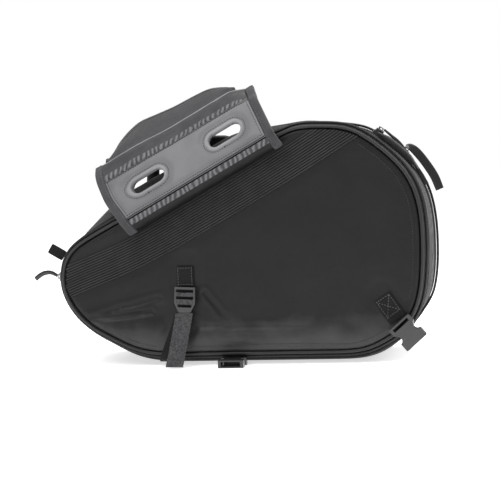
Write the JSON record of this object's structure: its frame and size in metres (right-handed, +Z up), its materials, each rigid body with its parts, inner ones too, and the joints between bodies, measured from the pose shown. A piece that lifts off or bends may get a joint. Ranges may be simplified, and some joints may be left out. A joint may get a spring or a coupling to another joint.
{
  "type": "saddle bag",
  "caption": "Soft motorcycle side saddle bag with a zipped opening lid, a flat back panel and a slotted folding yoke for tying it over the seat.",
  "frame": {"origin": "a point on the flat base, under the middle of the bag's depth", "axes": "+X along the bag to its tall rear end, -Y out of the flat back panel, +Z up"},
  "size_m": [0.5974, 0.221, 0.4107],
  "materials": {
    "leatherette": "black grained leatherette",
    "grey_leather": "mid-grey satin leatherette",
    "cordura": "black textured woven nylon",
    "shell": "woven fabric over a moulded foam shell",
    "piping": "black leatherette piping",
    "binding": "black bias binding",
    "webbing": "black ribbed webbing",
    "zip": "black coil zip and tape",
    "lining": "dark lining fabric",
    "mesh": "black mesh",
    "board": "stiffening board",
    "plastic": "moulded black plastic",
    "metal": "dark plated zinc"
  },
  "bodies": {
    "bag": {"back_panel": "leatherette", "back_board": "board", "back_lining": "lining", "back_piping": "piping", "edge_piping": "piping", "body_gusset": "cordura", "expansion_zip": "zip", "body_zip_tape": "zip", "body_zip_teeth": "zip", "ribbed_band": "webbing", "front_anchor_tab": "webbing", "rear_anchor_tab": "webbing", "base_tab": "webbing", "held_strap": "webbing", "carry_handle": "binding", "nose_tab": "webbing", "inner_strap_front": "webbing", "inner_strap_rear": "webbing"},
    "lid": {"lid_shell": "shell", "lid_gusset": "cordura", "lid_piping": "piping", "lid_zip_tape": "zip", "lid_zip_teeth": "zip", "lid_lining": "lining", "mesh_pocket": "mesh"},
    "yoke": {"yoke_face": "grey_leather", "yoke_board": "board", "yoke_face_lining": "lining", "slot_rim_front": "grey_leather", "slot_rim_rear": "grey_leather", "yoke_lower_strip": "leatherette", "yoke_top_roll": "leatherette", "yoke_binding_front": "binding", "yoke_binding_rear": "binding", "yoke_tail": "leatherette", "yoke_tail_binding": "binding"},
    "ladder_lock": {"ladder_lock": "plastic"},
    "strap_tail": {"strap_tail": "webbing"},
    "rear_socket": {"rear_socket": "plastic"},
    "base_socket": {"base_socket": "plastic"},
    "slider_high": {"slider_high": "metal"},
    "slider_low": {"slider_low": "metal"},
    "slider_nose": {"slider_nose": "metal"},
    "pull_high": {"pull_high": "plastic"},
    "pull_low": {"pull_low": "plastic"},
    "pull_nose": {"pull_nose": "plastic"}
  },
  "joints": [
    {"name": "lid_hinge", "type": "hinge", "parent": "bag", "child": "lid", "pos_m": [0.02, 0.051, 0.002], "axis": [-1, 0, 0], "range_deg": [0, 75]},
    {"name": "yoke_fold", "type": "hinge", "parent": "bag", "child": "yoke", "pos_m": [-0.0418, -0.0945, 0.2468], "axis": [0.8788, 0, 0.4772], "range_deg": [0, 100]},
    {"name": "ladder_lock_flex", "type": "hinge", "parent": "bag", "child": "ladder_lock", "pos_m": [-0.0787, -0.0962, 0.112], "axis": [-1, 0, 0], "range_deg": [0, 35]},
    {"name": "strap_tail_flex", "type": "hinge", "parent": "ladder_lock", "child": "strap_tail", "pos_m": [-0.0805, -0.099, 0.0755], "axis": [-1, 0, 0], "range_deg": [0, 60]},
    {"name": "rear_socket_flex", "type": "hinge", "parent": "bag", "child": "rear_socket", "pos_m": [0.2238, -0.1, 0.0542], "axis": [-0.7547, 0, -0.6561], "range_deg": [0, 80]},
    {"name": "base_socket_flex", "type": "hinge", "parent": "bag", "child": "base_socket", "pos_m": [-0.0135, -0.0885, 0.00575], "axis": [1, 0, 0], "range_deg": [0, 15]},
    {"name": "slider_high_run", "type": "slide", "parent": "bag", "child": "slider_high", "axis": [-0.8384, 0, 0.5451], "range_m": [0, 0.02]},
    {"name": "slider_low_run", "type": "slide", "parent": "bag", "child": "slider_low", "axis": [0.696, 0, -0.7181], "range_m": [0, 0.02]},
    {"name": "slider_nose_run", "type": "slide", "parent": "bag", "child": "slider_nose", "axis": [0, 0, -1], "range_m": [0, 0.015]},
    {"name": "pull_high_swing", "type": "hinge", "parent": "slider_high", "child": "pull_high", "pos_m": [0.19154, 0.051, 0.32269], "axis": [0, -1, 0], "range_deg": [0, 110]},
    {"name": "pull_low_swing", "type": "hinge", "parent": "slider_low", "child": "pull_low", "pos_m": [0.22808, 0.051, 0.29233], "axis": [0, -1, 0], "range_deg": [0, 100]},
    {"name": "pull_nose_swing", "type": "hinge", "parent": "slider_nose", "child": "pull_nose", "pos_m": [-0.27, -0.064, 0.12865], "axis": [0, -1, 0], "range_deg": [-60, 15]}
  ]
}
